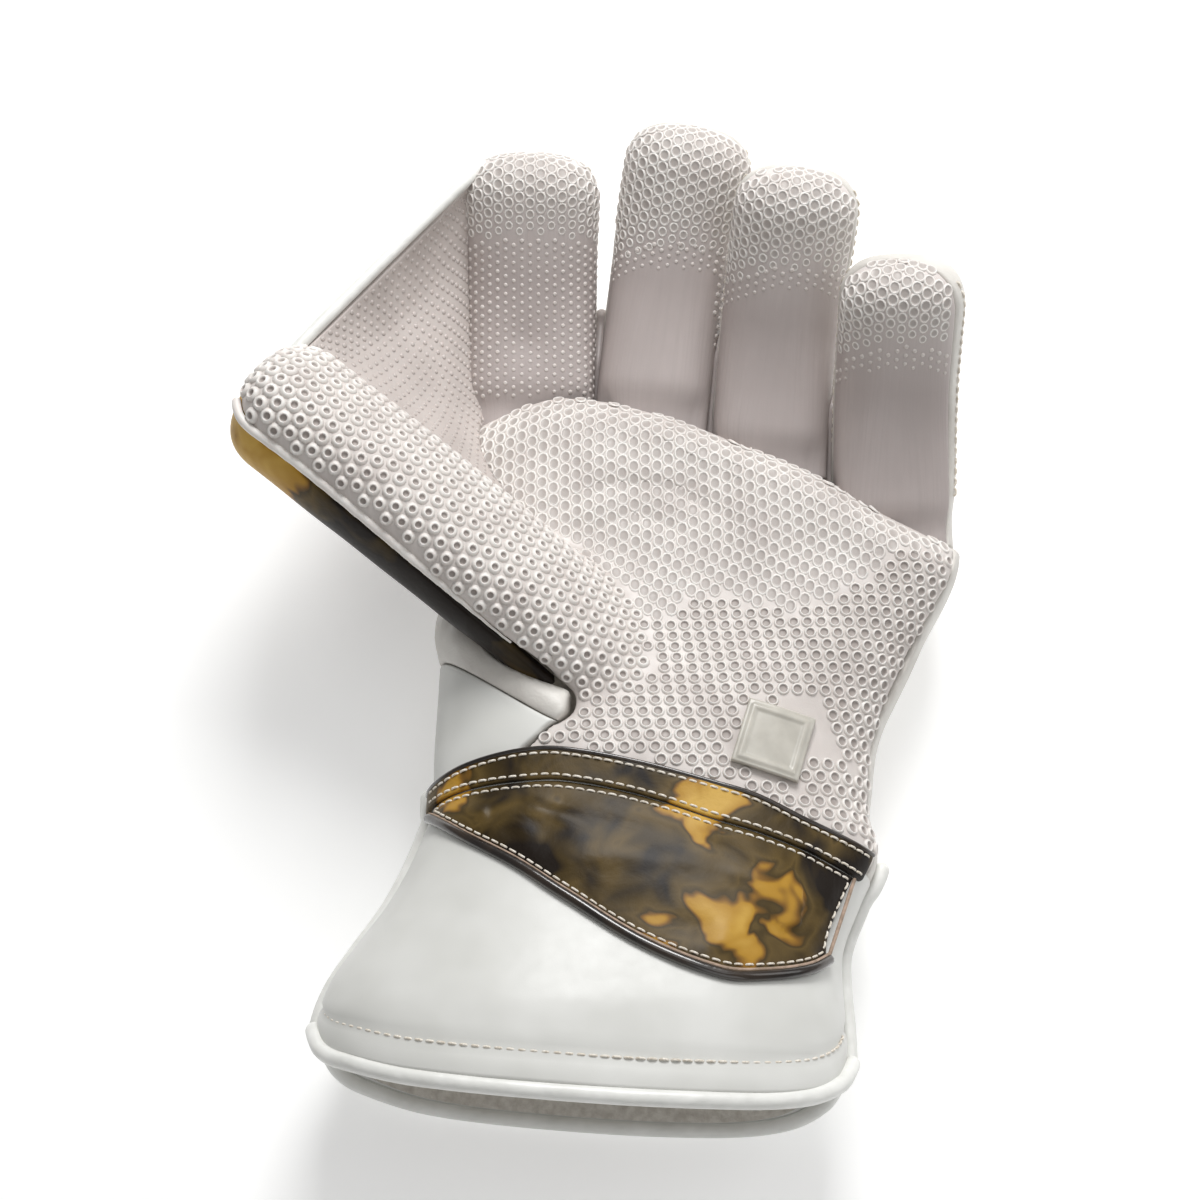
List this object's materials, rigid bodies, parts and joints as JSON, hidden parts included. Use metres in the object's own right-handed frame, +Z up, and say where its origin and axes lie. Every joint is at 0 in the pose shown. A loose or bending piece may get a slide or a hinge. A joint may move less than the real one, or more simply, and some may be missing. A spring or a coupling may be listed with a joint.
{
  "type": "wicketkeeping glove",
  "caption": "Left wicketkeeping glove lying palm up: dimpled rubber palm and finger faces, a web from thumb to index finger, patent patch at the wrist and a flared bound cuff, open for a hand.",
  "frame": {"origin": "Middle of the bounding box's underside: the glove lies on its back on z = 0.", "axes": "+Y runs along the fingers from the cuff, +X across the palm from the thumb's side to the little finger's, +Z up out of the palm."},
  "size_m": [0.2382, 0.337, 0.0992],
  "materials": {
    "dimpled_rubber": "matt, dimpled",
    "white_leather": "semi-gloss, smooth",
    "cuff_leather": "glossy coated",
    "patent_leather": "high-gloss, marbled brown and amber",
    "piping": "glossy",
    "binding": "semi-gloss",
    "soft_badge": "satin"
  },
  "bodies": {
    "root": {"cuff_front": "cuff_leather", "cuff_back": "cuff_leather", "hem_binding": "binding", "thumb_side_binding": "binding", "little_side_binding": "binding", "wrist_band": "patent_leather", "wrist_patch": "patent_leather", "patch_piping": "piping", "palm": "dimpled_rubber", "side_panel": "white_leather", "thumb_gusset": "white_leather", "hand_back": "white_leather", "badge": "soft_badge", "web": "dimpled_rubber", "web_binding": "binding", "thumb_front": "dimpled_rubber", "thumb_back": "patent_leather", "thumb_bead": "binding", "index_front": "dimpled_rubber", "index_back": "white_leather", "middle_front": "dimpled_rubber", "middle_back": "white_leather", "ring_front": "dimpled_rubber", "ring_back": "white_leather", "little_front": "dimpled_rubber", "little_back": "white_leather"}
  },
  "joints": []
}
